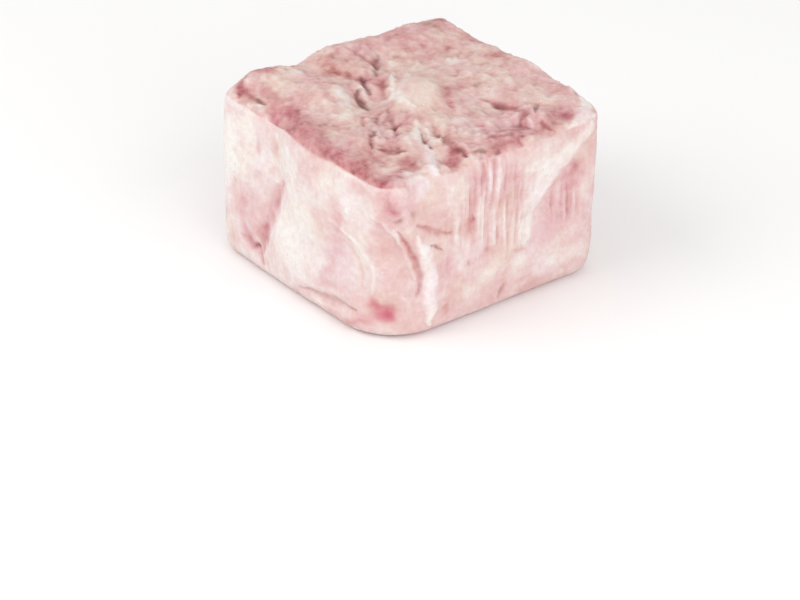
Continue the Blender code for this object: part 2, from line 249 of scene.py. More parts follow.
FRONT_MARKS = marks_on(
    Side.FRONT,
    # The smooth cake of powder over the middle, and the pink crease at its left
    dab(0.6, 8.4, 5.1, 6.6, 15, lift=0.16, dust=0.15, warm=0.2, calm=1.0, flat=0.55),
    dab(-1.6, 7.6, 2.6, 4.0, 15, dust=0.1, warm=0.2),
    dab(0.2, 15.2, 5.0, 3.2, -8, dust=0.16, warm=0.2, flat=0.3),
    dab(5.0, 14.6, 2.2, 2.4, lift=0.06, dust=0.14),
    dab(2.0, 11.2, 2.6, 2.4, dust=0.12),
    stroke(((-3.0, 12.6), (-3.8, 11.0), (-4.6, 9.1), (-5.4, 6.9), (-6.0, 4.8), (-6.4, 3.2)), 1.6, lift=-0.14,
           dust=-0.34, warm=-0.5),
    dab(-4.3, 9.7, 0.8, 1.5, -20, dust=-0.12, shade=0.08),
    dab(-5.6, 6.4, 0.8, 1.4, -10, dust=-0.14, shade=0.08),
    # The pale strip at the left and its mottling, down to the dark crease near the foot
    dab(-13.2, 12.4, 2.4, 6.6, dust=0.32, warm=0.2, flat=0.3),
    dab(-10.2, 16.4, 3.4, 2.0, dust=0.12, warm=0.7),
    dab(-9.6, 12.4, 2.8, 2.2, 10, dust=0.12, warm=0.9),
    dab(-12.8, 3.0, 1.9, 2.6, dust=0.18, warm=1.0),
    dab(-9.6, 1.4, 2.2, 1.0, 10, dust=0.12),
    dab(-7.4, 14.7, 0.8, 1.3, lift=-0.1, dust=-0.24, shade=0.3),
    dab(-4.9, 15.8, 1.3, 1.3, dust=-0.26, shade=0.1),
    dab(-4.6, 13.4, 1.6, 1.0, 30, dust=-0.22, shade=0.12),
    dab(-7.3, 11.9, 1.1, 0.7, 10, lift=-0.08, dust=-0.18, shade=0.32),
    dab(-8.8, 5.8, 4.8, 4.0, dust=-0.2, warm=-0.5, flat=0.3),
    dab(-10.2, 7.2, 2.2, 2.4, dust=-0.16, flat=0.2),
    dab(-9.2, 3.9, 2.6, 1.5, -15, dust=-0.32, warm=-0.8, berry=0.1),
    stroke(((-10.4, 3.5), (-8.8, 3.2), (-7.3, 3.1), (-6.1, 1.9)), 0.8, lift=-0.16, dust=-0.3, shade=0.32),
    dab(-7.4, 3.3, 0.8, 0.6, lift=-0.15, dust=-0.14, shade=0.55),
    dab(-6.3, 5.6, 1.3, 2.4, dust=-0.2),
    dab(-7.2, 8.8, 1.6, 1.2, dust=-0.1, warm=0.2),
    dab(-8.6, 10.0, 1.3, 1.4, dust=-0.14, warm=-0.3),
    dab(-6.7, 7.8, 0.9, 0.8, lift=-0.06, dust=-0.12, shade=0.16),
    dab(-11.4, 9.2, 0.9, 1.5, dust=-0.2, warm=-0.2),
    dab(-0.8, 14.3, 1.1, 0.8, 10, dust=-0.14),
    # Folds that curve round to the front corner
    stroke(((7.6, 14.0), (7.2, 11.6), (6.8, 9.4), (6.0, 7.0), (4.4, 5.4)), 1.6, dust=-0.15, warm=-1.1),
    dab(7.0, 7.4, 3.4, 3.8, dust=0.0, warm=-1.1, calm=0.5, flat=0.3),
    dab(10.2, 9.4, 1.7, 2.6, dust=0.1, warm=0.8),
    stroke(((6.4, 12.6), (7.9, 12.2), (9.8, 11.2), (11.5, 9.7), (11.9, 7.7), (11.5, 5.6)), 0.55, lift=0.12,
           dust=0.16),
    stroke(((8.0, 10.8), (9.6, 9.6), (10.4, 7.8), (10.2, 6.0)), 0.45, lift=-0.08, dust=-0.1),
    dab(5.4, 16.6, 3.6, 1.8, 5, dust=0.12, warm=0.6),
    dab(8.8, 15.0, 1.8, 2.4, lift=0.08, dust=0.14, warm=0.15),
    dab(10.2, 17.4, 2.6, 1.8, -10, dust=-0.26, warm=-0.4),
    dab(3.4, 4.2, 3.8, 1.5, 10, dust=-0.12, warm=-0.3),
    # The lip that folds under along the foot
    stroke(((0.4, 2.0), (2.8, 2.3), (5.4, 2.6), (8.0, 3.2), (9.6, 3.2)), 0.55, lift=-0.22, dust=-0.18,
           shade=0.38),
    stroke(((1.6, 3.0), (4.2, 3.3), (6.6, 3.8), (8.8, 4.3)), 0.55, lift=0.14, dust=0.08),
    stroke(((2.0, 1.4), (4.6, 1.5), (7.0, 2.0)), 0.4, lift=0.1, dust=0.12),
    dab(6.0, 1.0, 5.6, 1.2, 5, dust=-0.34, flat=0.2),
    dab(-1.8, 2.9, 1.0, 1.4, -30, dust=-0.1, warm=0.8, shade=0.18),
    dab(-0.6, 0.8, 2.0, 0.8, dust=-0.2),
)

CORNER_MARKS = marks_on(
    Side.CORNER,
    # The dark spot under the rim, the raspberry stain at the foot, and the folds between them
    dab(1.2, 15.0, 0.9, 0.7, -30, lift=-0.12, dust=-0.22, shade=0.6),
    dab(0.6, 16.4, 1.5, 1.1, lift=-0.05, dust=-0.32, warm=-0.8),
    dab(-0.5, 3.6, 2.3, 1.8, -20, lift=-0.08, dust=-0.3, berry=0.62, flat=0.2),
    dab(0.0, 3.1, 1.1, 0.9, dust=-0.14, berry=0.25),
    dab(-1.4, 4.8, 1.2, 1.0, -30, dust=-0.14, berry=0.45),
    dab(-2.6, 2.4, 2.4, 2.0, -30, dust=-0.16, warm=-0.6, berry=0.22),
    dab(0.6, 2.2, 2.6, 1.2, dust=-0.16, berry=0.14),
    dab(0.4, 12.4, 2.6, 6.0, dust=-0.2, flat=0.3),
    dab(-0.6, 17.4, 3.0, 1.6, dust=-0.2),
    stroke(((-1.6, 15.6), (-0.4, 14.9), (1.1, 13.0), (2.0, 10.1), (2.5, 7.4)), 0.55, lift=0.14, dust=0.16),
    stroke(((1.1, 13.6), (2.5, 10.6), (3.1, 7.8), (2.9, 5.2)), 0.55, lift=-0.2, dust=-0.26, shade=0.06),
    dab(0.6, 8.6, 1.8, 3.0, 10, lift=0.08, dust=0.12),
    stroke(((1.4, 5.6), (2.2, 4.2), (1.8, 2.6)), 0.4, lift=0.08, dust=0.12),
)

RIGHT_MARKS = marks_on(
    Side.RIGHT,
    # The bright ridge of powder up the blunt corner
    stroke(((-10.6, 12.4), (-9.6, 11.2), (-9.2, 8.8), (-8.9, 6.2), (-8.6, 3.6), (-8.6, 1.4)), 1.35, lift=0.22,
           dust=0.34),
    dab(-9.2, 10.8, 1.1, 1.2, lift=0.06, dust=0.2),
    dab(-7.0, 4.6, 1.6, 1.6, dust=0.14),
    stroke(((-8.7, 11.0), (-7.9, 10.6), (-7.1, 9.9)), 0.36, lift=-0.14, dust=-0.24, shade=0.6),
    dab(-9.1, 8.7, 0.7, 0.5, lift=-0.08, dust=-0.1, shade=0.16),
    stroke(((-10.4, 14.0), (-9.0, 12.9), (-7.6, 12.0), (-6.0, 11.5)), 0.65, lift=-0.18, dust=-0.34, shade=0.06),
    dab(-11.0, 15.4, 0.9, 0.6, -30, lift=-0.15, dust=-0.16, shade=0.45),
    dab(-11.6, 16.6, 1.7, 1.2, dust=-0.14, warm=-0.5),
    dab(-12.8, 16.4, 1.6, 2.4, dust=-0.1),
    dab(-9.4, 17.6, 1.2, 1.9, -20, lift=0.08, dust=0.22, warm=-0.9),
    dab(-8.0, 16.4, 2.6, 2.0, lift=0.06, dust=0.1, warm=0.8),
    # Drag lines of the knife, between pale and rose patches
    dab(-1.0, 12.4, 7.2, 7.6, drag=1.8, flat=0.4),
    stroke(((-1.9, 18.6), (-1.7, 16.8), (-2.0, 14.6)), 0.4, lift=-0.08, dust=-0.2),
    stroke(((1.0, 14.6), (1.3, 12.8), (1.1, 11.4)), 0.34, lift=-0.05, dust=-0.16),
    stroke(((0.2, 13.6), (0.4, 11.4), (0.3, 8.6)), 0.32, lift=-0.06, dust=-0.18, shade=0.08),
    stroke(((-3.2, 13.0), (-3.0, 11.2), (-3.1, 9.2)), 0.36, lift=-0.06, dust=-0.18, shade=0.08),
    stroke(((-2.3, 14.6), (-2.1, 11.6), (-2.2, 8.2)), 0.3, lift=0.05, dust=0.14),
    stroke(((-0.3, 14.0), (-0.2, 10.8), (0.0, 7.6)), 0.3, lift=0.05, dust=0.14),
    stroke(((3.0, 12.6), (3.2, 10.0), (3.6, 7.2)), 0.45, lift=0.06, dust=0.14),
    dab(1.8, 15.9, 1.8, 1.9, -15, dust=-0.24, warm=-0.5),
    dab(-2.8, 14.0, 0.7, 0.6, dust=-0.12, shade=0.14),
    dab(-3.4, 11.8, 2.0, 2.6, dust=-0.24, warm=-0.3),
    dab(1.0, 10.8, 1.4, 2.8, dust=0.2, warm=0.7),
    dab(-3.6, 6.8, 1.2, 0.9, lift=-0.08, dust=-0.14, shade=0.18),
    dab(-4.8, 6.2, 0.7, 0.7, lift=-0.05, dust=-0.12, shade=0.12),
    dab(-6.2, 8.0, 2.4, 2.0, dust=-0.14, warm=-0.4),
    dab(-6.5, 2.4, 0.8, 0.9, dust=-0.24),
    stroke(((0.8, 1.3), (1.0, 2.0), (1.3, 2.9)), 0.5, lift=-0.12, dust=-0.2, shade=0.4),
    dab(-0.6, 5.0, 2.6, 1.8, 20, lift=0.05, dust=0.2, warm=1.0, flat=0.2),
    dab(3.0, 4.6, 1.8, 1.8, dust=0.18, warm=0.8),
    dab(2.4, 2.6, 3.4, 1.8, dust=0.13, warm=0.3),
    dab(2.6, 9.8, 1.2, 2.4, dust=0.14, warm=0.8),
    dab(6.8, 2.8, 2.4, 1.8, dust=0.2, warm=-0.3),
    dab(-3.6, 3.4, 2.0, 1.6, dust=0.16, warm=0.8),
    dab(-12.8, 13.2, 1.2, 1.8, dust=0.12, warm=0.2),
    dab(-5.2, 16.2, 2.4, 2.4, -20, dust=0.2, warm=0.8),
    dab(-7.2, 14.4, 1.4, 0.8, dust=-0.1, shade=0.1),
    dab(-1.2, 7.4, 1.8, 1.0, dust=-0.16),
    stroke(((-3.8, 7.6), (-3.4, 6.6), (-3.6, 5.8)), 0.4, lift=-0.08, dust=-0.08, shade=0.22),
    stroke(((2.2, 6.8), (3.2, 6.2), (4.4, 6.0)), 0.4, dust=-0.2),
    # The white band from the top corner, and the pink hollow beyond it
    dab(7.0, 17.0, 5.6, 3.0, -8, lift=0.08, dust=0.18, warm=0.4, flat=0.4),
    stroke(((12.6, 17.8), (9.4, 16.6), (6.6, 14.6), (5.0, 12.2), (4.8, 9.6), (4.4, 7.2)), 2.2, lift=0.12,
           dust=0.22, warm=0.1, flat=0.2),
    dab(10.4, 13.2, 2.4, 3.0, 10, lift=-0.12, dust=-0.28, warm=-0.7, flat=0.2),
    dab(10.5, 13.8, 1.0, 1.8, dust=-0.1, shade=0.34, drag=0.6),
    dab(9.4, 10.0, 2.9, 3.8, 15, dust=-0.16, warm=-0.4, drag=1.8, flat=0.4),
    dab(6.6, 7.2, 2.8, 2.2, 30, dust=-0.07, warm=-1.4, calm=0.5, flat=0.3),
    dab(13.2, 9.6, 1.7, 5.0, dust=0.14, flat=0.2),
    dab(9.0, 3.4, 4.4, 2.0, dust=0.18, warm=0.5),
    dab(5.0, 1.4, 2.6, 1.0, dust=-0.14),
)

HIDDEN_MARKS = echo(FRONT_MARKS, Side.BACK, 0.8) + echo(RIGHT_MARKS, Side.LEFT, -0.6)


def smooth(low: float, high: float, value: np.ndarray) -> np.ndarray:
    """Runs softly from 0, where the value is low or less, to 1, where it is high or more."""
    share = np.clip((value - low) / (high - low), 0.0, 1.0)
    return share * share * (3.0 - 2.0 * share)


@dataclass(frozen=True)
class Pattern:
    """A noise over the skin.

    Size is that of its largest features in millimetres, the same all round or along X, Y and Z. Each layer is finer
    than the one before, and the seed and the steps say where in the noise it is read.
    """

    size: float | tuple
    layers: int
    seed: int
    soft_step: tuple = (17.3, 5.9, 11.7)
    creased_step: tuple = (13.1, 7.7, 3.3)
    fade: float = 1.0
    finer: float = 2.0

    def points(self, places: np.ndarray, step: tuple) -> list:
        """The points that the noise is read at, in its own size, and moved away by the seed."""
        shift = Vector([self.seed * part for part in step])
        return [Vector(point) + shift for point in (places / self.size).tolist()]

    def soft(self, places: np.ndarray) -> np.ndarray:
        """Fractal noise at places in millimetres, from about -1 to 1."""
        points = self.points(places, self.soft_step)
        return np.array([noise.fractal(point, self.fade, self.finer, self.layers) for point in points])

    def creased(self, places: np.ndarray) -> np.ndarray:
        """Noise with sharp valleys, as in crumpled skin, from 0 in a valley to about 1."""
        points = self.points(places, self.creased_step)
        return np.array([noise.turbulence(point, self.layers, True) for point in points])


@dataclass
class Skin:
    """The block's skin before its marks: each point's place in millimetres, and the way it faces."""

    places: np.ndarray
    normals: np.ndarray
    side_from: float = 0.46
    side_to: float = 0.72
    rim_carry: float = 0.22
    rim_ragged: float = 0.14
    rim_sharpness: float = 22.0
    ragged_noise: Pattern = Pattern(1.6, 3, 1)
    ragged_reach: float = 0.42
    wander_noise: Pattern = Pattern(4.5, 2, 11)
    wander_reach: float = 1.8
    wander_full: float = 4.0

    def __post_init__(self) -> None:
        """Works out the shifts that keep the marks from having smooth outlines, and each side's share."""
        self.ragged = self.shift(self.ragged_noise) * self.ragged_reach
        self.wander = self.shift(self.wander_noise) * self.wander_reach
        weights = {side: np.exp(self.rim_sharpness * self.facing(side)) for side in Side}
        total = sum(weights.values())
        self.shares = {side: weight / total for side, weight in weights.items()}

    def shift(self, pattern: Pattern) -> np.ndarray:
        """A noisy pair of values for each place, from two seeds of a pattern."""
        return np.stack([replace(pattern, seed=pattern.seed + i).soft(self.places) for i in range(2)], axis=1)

    def facing(self, side: Side) -> np.ndarray:
        """How squarely each point faces a side's way, with the top carried raggedly over its rim."""
        carry = self.rim_carry if side is Side.TOP else 0.0
        return self.normals @ side.facing + carry + self.rim_ragged * self.ragged[:, 0]

    def strength(self, mark: Mark) -> np.ndarray:
        """How strongly a mark shows at each point.

        Args:
            mark: The mark.

        Returns:
            An array of shares.
        """
        reach = max(mark.reach)
        flat = self.places @ mark.side.axes.T + self.ragged * min(1.0, reach)
        if len(mark.path) == 1:
            flat = flat + self.wander * min(1.0, reach / self.wander_full) ** 2
            away = dab_distance(flat, mark)
        else:
            away = stroke_distance(flat, mark)
        top = self.shares[Side.TOP]
        share = top if mark.side is Side.TOP else 1.0 - top
        share = share * smooth(self.side_from, self.side_to, self.facing(mark.side))
        return share * (1.0 - smooth(mark.flat, 1.0, away))


def dab_distance(flat: np.ndarray, mark: Mark) -> np.ndarray:
    """Each point's distance from a dab's middle, where 1 is the dab's edge.

    Args:
        flat: The points' places along the side's two axes, in millimetres.
        mark: The dab.

    Returns:
        An array of distances.
    """
    turn = math.radians(mark.turn)
    away = flat - np.array(mark.path[0])
    along = away[:, 0] * math.cos(turn) + away[:, 1] * math.sin(turn)
    across = away[:, 1] * math.cos(turn) - away[:, 0] * math.sin(turn)
    return np.hypot(along / mark.reach[0], across / mark.reach[1])


def stroke_distance(flat: np.ndarray, mark: Mark) -> np.ndarray:
    """Each point's distance from a stroke's line, where 1 is the stroke's edge, which narrows towards both ends.

    Args:
        flat: The points' places along the side's two axes, in millimetres.
        mark: The stroke.

    Returns:
        An array of distances.
    """
    path = np.array(mark.path, float)
    nearest = np.full(len(flat), np.inf)
    legs = np.linalg.norm(np.diff(path, axis=0), axis=1)
    travelled = np.concatenate([[0.0], np.cumsum(legs)]) / legs.sum()
    for i, (start, end) in enumerate(zip(path[:-1], path[1:])):
        leg = end - start
        along = np.clip((flat - start) @ leg / (leg @ leg), 0.0, 1.0)
        away = np.linalg.norm(flat - start - along[:, None] * leg, axis=1)
        share = travelled[i] + along * (travelled[i + 1] - travelled[i])
        width = mark.reach[0] * (STROKE_END + (1.0 - STROKE_END) * np.sin(np.pi * share))
        nearest = np.minimum(nearest, away / width)
    return nearest


class Graph:
    """A node tree, to which nodes are added one at a time."""

    def __init__(self, tree: bpy.types.NodeTree) -> None:
        """Starts on an existing tree."""
        self.tree = tree

    def node(self, kind: str, settings: dict | None = None, sockets: dict | None = None) -> bpy.types.Node:
        """Adds any node.

        Args:
            kind: The node's type.
            settings: Its properties, set first. Stops are a colour ramp's places and colours.
            sockets: Its inputs by identifier, each a value or a signal to link.

        Returns:
            The node.
        """
        node = self.tree.nodes.new(kind)
        for name, value in (settings or {}).items():
            if name == "stops":
                self.set_stops(node.color_ramp, value)
            else:
                setattr(node, name, value)
        by_identifier = {socket.identifier: socket for socket in node.inputs}
        for name, value in (sockets or {}).items():
            if isinstance(value, Signal):
                self.tree.links.new(value.socket, by_identifier[name])
            else:
                by_identifier[name].default_value = value
        return node

    @staticmethod
    def set_stops(ramp: bpy.types.ColorRamp, stops: tuple) -> None:
        """Gives a colour ramp its stops.

        Args:
            ramp: The ramp.
            stops: Pairs of a place from 0 to 1 and a colour.
        """
        while len(ramp.elements) < len(stops):
            ramp.elements.new(1.0)
        for element, (place, colour) in zip(ramp.elements, stops):
            element.position = place
            element.color = colour

    def signal(self, kind: str, output: str, settings: dict | None = None, sockets: dict | None = None) -> "Signal":
        """Adds any node and takes one of its outputs by name, ready for use in an expression."""
        return Signal(self, self.node(kind, settings, sockets).outputs[output])

    def ramp(self, share: "Signal", stops: tuple) -> "Signal":
        """Looks a colour up along a ramp of stops, which are pairs of a place and a colour."""
        return self.signal("ShaderNodeValToRGB", "Color", {"stops": stops}, {"Fac": share})

    def blend(self, share: "Signal", first: object, second: object) -> "Signal":
        """Mixes two colours: 0 or less gives the first, and 1 or more the second."""
        node = self.node("ShaderNodeMix", {"data_type": "RGBA"},
                         {"Factor_Float": share, "A_Color": first, "B_Color": second})
        return Signal(self, next(s for s in node.outputs if s.identifier == "Result_Color"))

    def feed(self, signal: "Signal", shader: bpy.types.Node, socket: str) -> None:
        """Feeds a signal into one of the shader's sockets."""
        self.tree.links.new(signal.socket, shader.inputs[socket])

    def attribute(self, name: str) -> "Signal":
        """Reads one of the skin's own values."""
        return self.signal("ShaderNodeAttribute", "Fac", {"attribute_name": name})

    def grain(self, places: "Signal", size: float, detail: float, roughness: float = 0.55) -> "Signal":
        """Adds a noise texture of a size in metres, whose value lies about 0.5, from 0 to 1."""
        return self.signal("ShaderNodeTexNoise", "Fac", None,
                           {"Vector": places, "Scale": 1.0 / size, "Detail": detail, "Roughness": roughness})


@dataclass(frozen=True)
class Signal:
    """A node's output that sums are written with: each operator adds a Math node."""

    graph: Graph
    socket: bpy.types.NodeSocket

    def calculate(self, operation: str, first: object, second: object) -> "Signal":
        """Adds one Math node."""
        return self.graph.signal("ShaderNodeMath", "Value", {"operation": operation},
                                 {"Value": first, "Value_001": second})

    def __add__(self, other: object) -> "Signal":
        """This plus the other."""
        return self.calculate("ADD", self, other)

    __radd__ = __add__

    def __sub__(self, other: object) -> "Signal":
        """This less the other."""
        return self.calculate("SUBTRACT", self, other)

    def __rsub__(self, other: object) -> "Signal":
        """The other less this."""
        return self.calculate("SUBTRACT", other, self)

    def __mul__(self, other: object) -> "Signal":
        """This times the other."""
        return self.calculate("MULTIPLY", self, other)

    __rmul__ = __mul__

    def over(self, low: float, high: float) -> "Signal":
        """Runs softly from 0 to 1 as this goes from low to high."""
        return self.graph.signal("ShaderNodeMapRange", "Result", {"interpolation_type": "SMOOTHSTEP"},
                                 {"Value": self, "From Min": low, "From Max": high})


def tint(red: int, green: int, blue: int) -> tuple:
    """A colour given as it looks on a screen, from 0 to 255, made linear for the renderer."""
    return tuple((part / 255) ** 2.2 for part in (red, green, blue)) + (1.0,)


def set_sockets(node: bpy.types.Node, values: dict) -> None:
    """Gives a node's sockets constant values, by their names."""
    for name, value in values.items():
        node.inputs[name].default_value = value


def start_material(name: str) -> tuple:
    """Starts a material.

    Args:
        name: Its name.

    Returns:
        The material, its graph, its shader and the places on the piece.
    """
    material = bpy.data.materials.new(name)
    material.use_nodes = True
    graph = Graph(material.node_tree)
    shader = material.node_tree.nodes["Principled BSDF"]
    return material, graph, shader, graph.signal("ShaderNodeTexCoord", "Object")


@dataclass(frozen=True)
class Grain:
    """One grain of the gel and powder: its size, its finer layers, and how far it changes the powder and the height."""

    size: float
    detail: float
    dust: float
    height: float = 0.0


@dataclass(frozen=True)
class DustedGel:
    """Rose gel under damp powder: bare gel is deep, smooth and a little wet, and caked powder is pale and dry."""

    name: str = "dusted_rose_gel"
    rose: tuple = (
        (0.00, tint(170, 94, 95)),
        (0.20, tint(200, 145, 143)),
        (0.42, tint(214, 174, 170)),
        (0.60, tint(221, 190, 186)),
        (0.78, tint(227, 209, 206)),
        (1.00, tint(237, 233, 229)),
    )
    beige: tuple = (
        (0.00, tint(168, 112, 100)),
        (0.25, tint(202, 158, 146)),
        (0.50, tint(218, 191, 178)),
        (0.75, tint(227, 211, 199)),
        (1.00, tint(236, 233, 224)),
    )
    mauve: tuple = (
        (0.00, tint(168, 88, 100)),
        (0.25, tint(204, 148, 153)),
        (0.50, tint(219, 180, 183)),
        (0.75, tint(227, 205, 208)),
        (1.00, tint(237, 231, 233)),
    )
    raspberry: tuple = tint(200, 88, 116)
    shadow: tuple = tint(104, 62, 60)
    mottle: Grain = Grain(1.6 * MM, 3.0, dust=0.20, height=0.25)
    fleck: Grain = Grain(0.8 * MM, 2.0, dust=0.22)
    speckle: Grain = Grain(0.45 * MM, 2.0, dust=0.26, height=0.55)
    powder: Grain = Grain(0.14 * MM, 2.0, dust=0.10, height=0.30)
    warm_mottle: float = 0.5
    warm_most: float = 0.75
    stain_speckle: float = 0.5
    berry_over: tuple = (0.0, 1.1)
    berry_most: float = 0.8
    shade_over: tuple = (0.1, 1.1)
    shade_most: float = 0.75
    dry_over: tuple = (0.15, 0.60)
    wet_roughness: float = 0.42
    dry_roughness: float = 0.40
    bump_height: float = 0.22 * MM
    bump_strength: float = 0.55
    subsurface: float = 0.22
    subsurface_radius: tuple = (1.0, 0.42, 0.36)
    subsurface_scale: float = 1.2 * MM
    specular: float = 0.35

    def build(self) -> bpy.types.Material:
        """Makes the material.

        Returns:
            The material.
        """
        material, graph, shader, places = start_material(self.name)
        grains = (self.mottle, self.fleck, self.speckle, self.powder)
        signals = [graph.grain(places, grain.size, grain.detail) - 0.5 for grain in grains]
        dust = graph.attribute("dust")
        for grain, signal in zip(grains, signals):
            dust = dust + signal * grain.dust
        mottle, _, speckle, powder = signals

        rose, beige, mauve = (graph.ramp(dust, stops) for stops in (self.rose, self.beige, self.mauve))
        warm = graph.attribute("warm") + mottle * self.warm_mottle
        colour = graph.blend(warm * self.warm_most, rose, beige)
        colour = graph.blend(warm * -self.warm_most, colour, mauve)
        berry = (graph.attribute("berry") + speckle * self.stain_speckle).over(*self.berry_over)
        colour = graph.blend(berry * self.berry_most, colour, self.raspberry)
        shade = (graph.attribute("shade") + speckle * self.stain_speckle).over(*self.shade_over)
        colour = graph.blend(shade * self.shade_most, colour, self.shadow)
        graph.feed(colour, shader, "Base Color")

        dry = dust.over(*self.dry_over)
        graph.feed(self.wet_roughness + dry * self.dry_roughness, shader, "Roughness")
        height = powder * self.powder.height * dry + speckle * self.speckle.height + mottle * self.mottle.height
        bump = graph.signal("ShaderNodeBump", "Normal", None,
                            {"Height": height, "Distance": self.bump_height, "Strength": self.bump_strength})
        graph.feed(bump, shader, "Normal")
        set_sockets(shader, {
            "Subsurface Weight": self.subsurface,
            "Subsurface Radius": self.subsurface_radius,
            "Subsurface Scale": self.subsurface_scale,
            "Specular IOR Level": self.specular,
        })
        return material


@dataclass
class DelightBlock:
    """The block's skin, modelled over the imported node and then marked.

    The patterns between the marks act on its powder (dust), its hue (warm) and its height (lift). Lifts are in
    millimetres, and the other effects are shares.
    """

    name: str = "delight_block"
    merge_distance: float = 0.002 * MM
    level_cells: int = 18
    upright_cells: int = 11
    fine_steps: int = 2
    dust_by_side: tuple = (
        (Side.TOP, 0.52), (Side.FRONT, 0.73), (Side.RIGHT, 0.61), (Side.CORNER, 0.60), (Side.BACK, 0.72),
        (Side.LEFT, 0.68), (Side.BASE, 0.60),
    )
    thin_dust: float = 0.25
    thick_dust: float = 0.80
    # The patterns, and the turn of the folds in degrees
    patches: Pattern = Pattern(3.0, 3, 3)
    flecks: Pattern = Pattern(0.9, 3, 4)
    folds: Pattern = Pattern((3.2, 1.7, 2.2), 4, 5)
    small_folds: Pattern = Pattern((1.3, 0.8, 1.0), 3, 9)
    broad_lines: Pattern = Pattern((0.75, 0.75, 8.0), 2, 6)
    thin_lines: Pattern = Pattern((0.36, 0.36, 4.5), 1, 14)
    cakes: Pattern = Pattern(2.8, 4, 8)
    hues: Pattern = Pattern(3.8, 3, 12)
    drifts: Pattern = Pattern(6.5, 2, 13)
    stains: Pattern = Pattern(1.3, 4, 7)
    fold_turn: float = -35.0
    fold_middle: float = 0.45
    broad_share: float = 0.45
    # How crumpled, dragged and busy the skin is before its marks
    crumple_all: float = 0.10
    crumple_top: float = 0.55
    drag_sides: float = 0.12
    busy_all: float = 0.55
    busy_top: float = 0.45
    calm_most: float = 0.8
    # What the patterns do to the powder
    patch_dust: float = 0.14
    fleck_dust: float = 0.14
    fold_dust: float = 0.30
    cake_over: tuple = (-0.20, 0.40)
    cake_dust: float = 0.12
    line_dust: float = 0.20
    drift_dust: float = 0.16
    # What they do to the hue
    top_warm: float = 0.12
    top_hue: float = 0.7
    cake_warm: float = 0.46
    side_mauve: float = 0.12
    side_hue: float = 0.8
    # What they do to the shade
    stain_rare: float = 0.1
    stain_over: tuple = (0.0, 0.8)
    stain_shade: float = 0.20
    crease_over: tuple = (0.10, 0.40)
    crease_from: float = 0.3
    crease_shade: float = 0.55
    # What they do to the height, which fades out towards the foot and on the base
    cake_rise: tuple = (0.30, 0.80)
    cake_height: float = 0.10
    fleck_lift: float = 0.05
    fold_lift: float = 0.30
    small_fold_lift: float = 0.14
    line_lift: float = 0.07
    foot: float = 1.6
    base_over: tuple = (-0.95, -0.60)

    @property
    def fold_way(self) -> np.ndarray:
        """Turns places so that the folds run from the back corner of the top towards the front one."""
        return np.array(Matrix.Rotation(math.radians(self.fold_turn), 3, "Z"))

    def build(self) -> bpy.types.Object:
        """Makes the whole piece.

        Returns:
            The finished object.
        """
        model = self.smooth_model()
        block = self.blank()
        self.wrap(block, model)
        bpy.data.objects.remove(model, do_unlink=True)
        self.mark(block)
        block.data.materials.append(DustedGel().build())
        bpy.ops.object.shade_smooth()
        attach(block, "root")
        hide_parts(NODE)
        return block

    def smooth_model(self) -> bpy.types.Object:
        """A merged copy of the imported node, for the skin to settle on.

        Returns:
            The copy, which is removed again after use.
        """
        bpy.ops.object.select_all(action="DESELECT")
        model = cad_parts[NODE].copy()
        model.data = model.data.copy()
        model.name = "block_model"
        model.parent = None
        bpy.context.scene.collection.objects.link(model)
        model.select_set(True)
        bpy.context.view_layer.objects.active = model
        bpy.ops.object.mode_set(mode="EDIT")
        bpy.ops.mesh.select_all(action="SELECT")
        bpy.ops.mesh.remove_doubles(threshold=self.merge_distance)
        bpy.ops.object.mode_set(mode="OBJECT")
        return model

    def blank(self) -> bpy.types.Object:
        """A box of the block's size, cut into even cells.

        Returns:
            The box, selected and active.
        """
        low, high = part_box(NODE)
        bpy.ops.object.select_all(action="DESELECT")
        bpy.ops.mesh.primitive_cube_add(size=1, location=(low + high) / 2, scale=high - low)
        block = bpy.context.object
        block.name = self.name
        block.data.name = self.name
        bpy.ops.object.transform_apply(location=True, rotation=True, scale=True)
        self.cut(block, upright=True, cells=self.upright_cells)
        self.cut(block, upright=False, cells=self.level_cells)
        return block

    @staticmethod
    def cut(block: bpy.types.Object, upright: bool, cells: int) -> None:
        """Cuts every upright edge, or every level one, into equal lengths.

        Args:
            block: The box.
            upright: Whether the upright edges are cut, or the level ones.
            cells: How many lengths each edge becomes.
        """
        bpy.ops.object.mode_set(mode="EDIT")
        bpy.ops.mesh.select_mode(type="EDGE")
        bpy.ops.mesh.select_all(action="DESELECT")
        bpy.ops.object.mode_set(mode="OBJECT")
        points = block.data.vertices
        for edge in block.data.edges:
            first, second = (points[i].co for i in edge.vertices)
            rises = abs(first.z - second.z) > (first - second).xy.length
            edge.select = rises == upright
        bpy.ops.object.mode_set(mode="EDIT")
        bpy.ops.mesh.subdivide(number_cuts=cells - 1)
        bpy.ops.object.mode_set(mode="OBJECT")

    def wrap(self, block: bpy.types.Object, model: bpy.types.Object) -> None:
        """Settles the box on the model, first coarsely and then finely, and refines it.

        Args:
            block: The box.
            model: What it settles on.
        """
        self.apply(block, "SHRINKWRAP", target=model, wrap_method="NEAREST_SURFACEPOINT")
        self.apply(block, "SUBSURF", levels=1, render_levels=1)
        self.apply(block, "SHRINKWRAP", target=model, wrap_method="NEAREST_SURFACEPOINT")
        self.apply(block, "SUBSURF", levels=self.fine_steps, render_levels=self.fine_steps)

    @staticmethod
    def apply(block: bpy.types.Object, kind: str, **settings: object) -> None:
        """Adds a modifier and applies it.

        Args:
            block: The object, which is active.
            kind: The modifier's type.
            **settings: The modifier's properties.
        """
        modifier = block.modifiers.new(kind.lower(), kind)
        for name, value in settings.items():
            setattr(modifier, name, value)
        bpy.context.view_layer.objects.active = block
        bpy.ops.object.modifier_apply(modifier=modifier.name)

